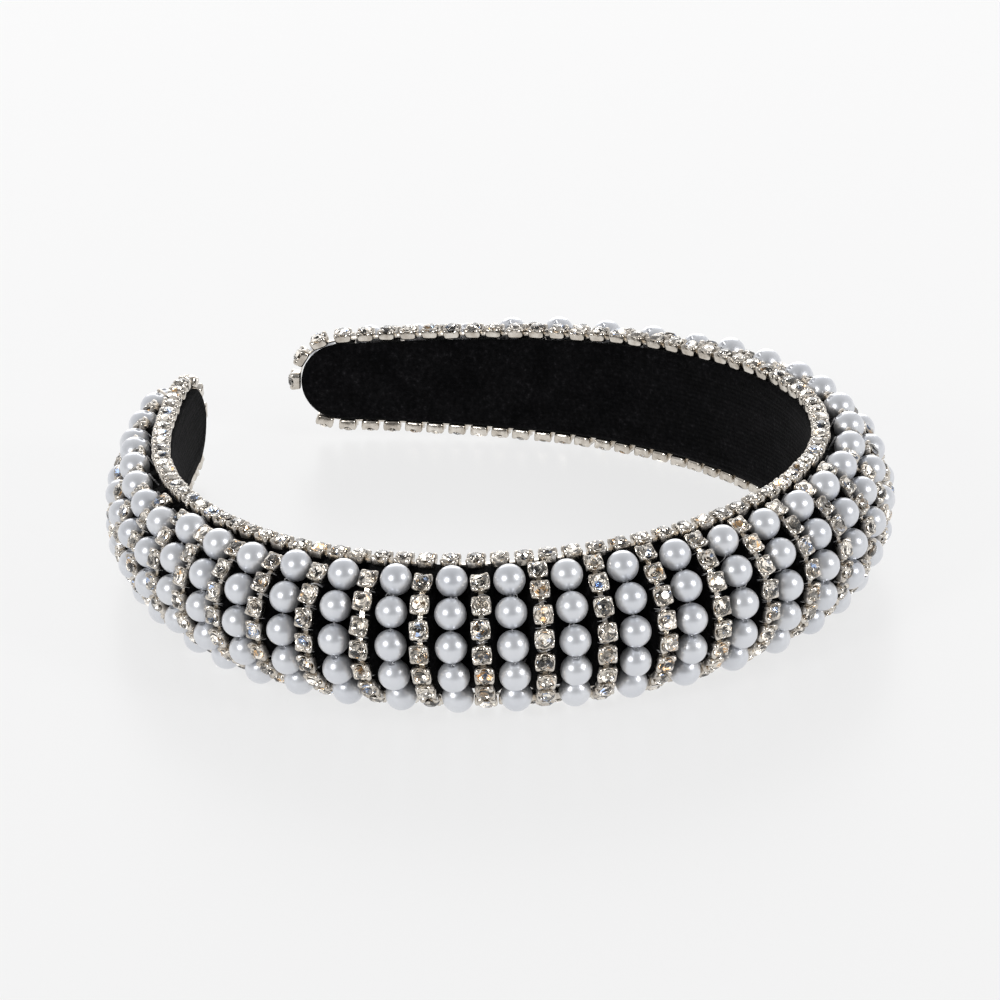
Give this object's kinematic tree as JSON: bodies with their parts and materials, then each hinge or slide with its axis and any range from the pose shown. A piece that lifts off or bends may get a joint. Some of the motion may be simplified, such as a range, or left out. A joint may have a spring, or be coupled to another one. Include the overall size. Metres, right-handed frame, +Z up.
{
  "type": "headband",
  "caption": "Padded velvet headband lying on its edge, covered with pearl strands and rows of stones in square metal cups; two sprung arms that spread for the head.",
  "frame": {"origin": "the point of the resting plane under the middle of the band's outer box, as it lies on its edge", "axes": "+Z up across the band's width, +Y from the crown of the band towards its open tips, +X towards the right arm"},
  "size_m": [0.1494, 0.166, 0.0309],
  "materials": {
    "lining_velvet": "short black velvet pile",
    "cover_velvet": "black velvet, pinched into folds",
    "pad_foam": "soft polyurethane foam",
    "core_plastic": "moulded springy strip",
    "pearl": "pearl lacquer over a round bead",
    "nylon": "clear nylon monofilament",
    "cup_metal": "silver plate, warm in the shadows",
    "stone_glass": "clear faceted glass, foiled back"
  },
  "bodies": {
    "crown": {"velvet_lining_crown": "lining_velvet", "spring_core_crown": "core_plastic", "foam_pad_crown": "pad_foam", "velvet_cover_crown": "cover_velvet", "pearls_crown": "pearl", "pearl_threads_crown": "nylon", "cross_chain_cups_crown": "cup_metal", "cross_chain_stones_crown": "stone_glass", "upper_edge_cups_crown": "cup_metal", "upper_edge_stones_crown": "stone_glass", "lower_edge_cups_crown": "cup_metal", "lower_edge_stones_crown": "stone_glass"},
    "left_arm": {"velvet_lining_left": "lining_velvet", "spring_core_left": "core_plastic", "foam_pad_left": "pad_foam", "velvet_cover_left": "cover_velvet", "pearls_left": "pearl", "pearl_threads_left": "nylon", "cross_chain_cups_left": "cup_metal", "cross_chain_stones_left": "stone_glass", "upper_edge_cups_left": "cup_metal", "upper_edge_stones_left": "stone_glass", "lower_edge_cups_left": "cup_metal", "lower_edge_stones_left": "stone_glass"},
    "right_arm": {"velvet_lining_right": "lining_velvet", "spring_core_right": "core_plastic", "foam_pad_right": "pad_foam", "velvet_cover_right": "cover_velvet", "pearls_right": "pearl", "pearl_threads_right": "nylon", "cross_chain_cups_right": "cup_metal", "cross_chain_stones_right": "stone_glass", "upper_edge_cups_right": "cup_metal", "upper_edge_stones_right": "stone_glass", "lower_edge_cups_right": "cup_metal", "lower_edge_stones_right": "stone_glass"}
  },
  "joints": [
    {"name": "right_arm_flex", "type": "hinge", "parent": "crown", "child": "right_arm", "pos_m": [0.05667, -0.05743, 0.01545], "axis": [0, 0, -1], "range_deg": [-3, 20], "stiffness_Nm_per_rad": 0.9},
    {"name": "left_arm_flex", "type": "hinge", "parent": "crown", "child": "left_arm", "pos_m": [-0.05667, -0.05743, 0.01545], "axis": [0, 0, 1], "range_deg": [-3, 20], "stiffness_Nm_per_rad": 0.9}
  ]
}
